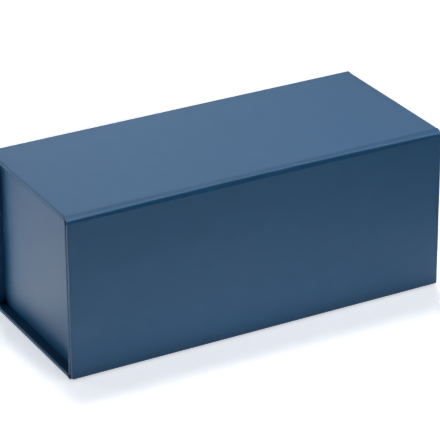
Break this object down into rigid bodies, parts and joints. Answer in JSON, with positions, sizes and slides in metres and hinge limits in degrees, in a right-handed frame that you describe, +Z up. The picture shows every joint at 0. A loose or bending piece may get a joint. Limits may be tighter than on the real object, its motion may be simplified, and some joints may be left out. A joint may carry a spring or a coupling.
{
  "type": "magnetic gift box",
  "caption": "Long rigid keepsake box wrapped in navy paper, its hinged lid carrying a front flap that hangs over the front wall and is held shut by hidden magnets.",
  "frame": {"origin": "under the middle of the shut box, on the surface that it stands on", "axes": "+X along the box, +Y from the flap's side to the lid's hinge, +Z up"},
  "size_m": [0.24, 0.105, 0.1005],
  "materials": {
    "wrap_paper": "satin",
    "liner_paper": "matte",
    "greyboard": "matte",
    "adhesive_tape": "satin",
    "magnet": "satin"
  },
  "bodies": {
    "tray": {"front_wall_board": "greyboard", "front_wall_wrap": "wrap_paper", "front_wall_liner": "liner_paper", "base_board": "greyboard", "base_wrap": "wrap_paper", "base_liner": "liner_paper", "back_wall_board": "greyboard", "back_wall_wrap": "wrap_paper", "back_wall_liner": "liner_paper", "front_bottom_hinge_paper": "wrap_paper", "back_bottom_hinge_paper": "wrap_paper", "lid_hinge_paper": "wrap_paper", "left_end_board": "greyboard", "left_end_wrap": "wrap_paper", "left_end_liner": "liner_paper", "left_front_tab_card": "greyboard", "left_back_tab_card": "greyboard", "left_front_tape": "adhesive_tape", "left_back_tape": "adhesive_tape", "left_wall_magnet": "magnet", "right_end_board": "greyboard", "right_end_wrap": "wrap_paper", "right_end_liner": "liner_paper", "right_front_tab_card": "greyboard", "right_back_tab_card": "greyboard", "right_front_tape": "adhesive_tape", "right_back_tape": "adhesive_tape", "right_wall_magnet": "magnet"},
    "lid": {"lid_board": "greyboard", "lid_wrap": "wrap_paper", "lid_liner": "liner_paper", "flap_hinge_paper": "wrap_paper"},
    "flap": {"flap_board": "greyboard", "flap_wrap": "wrap_paper", "flap_liner": "liner_paper", "left_flap_magnet": "magnet", "right_flap_magnet": "magnet"}
  },
  "joints": [
    {"name": "lid_hinge", "type": "hinge", "parent": "tray", "child": "lid", "pos_m": [0, 0.05188, 0.09988], "axis": [-1, 0, 0], "range_deg": [0, 178], "deforming": ["lid_hinge_paper"]},
    {"name": "flap_hinge", "type": "hinge", "parent": "lid", "child": "flap", "pos_m": [0, -0.051, 0.0993], "axis": [-1, 0, 0], "range_deg": [0, 178], "deforming": ["flap_hinge_paper"]}
  ]
}
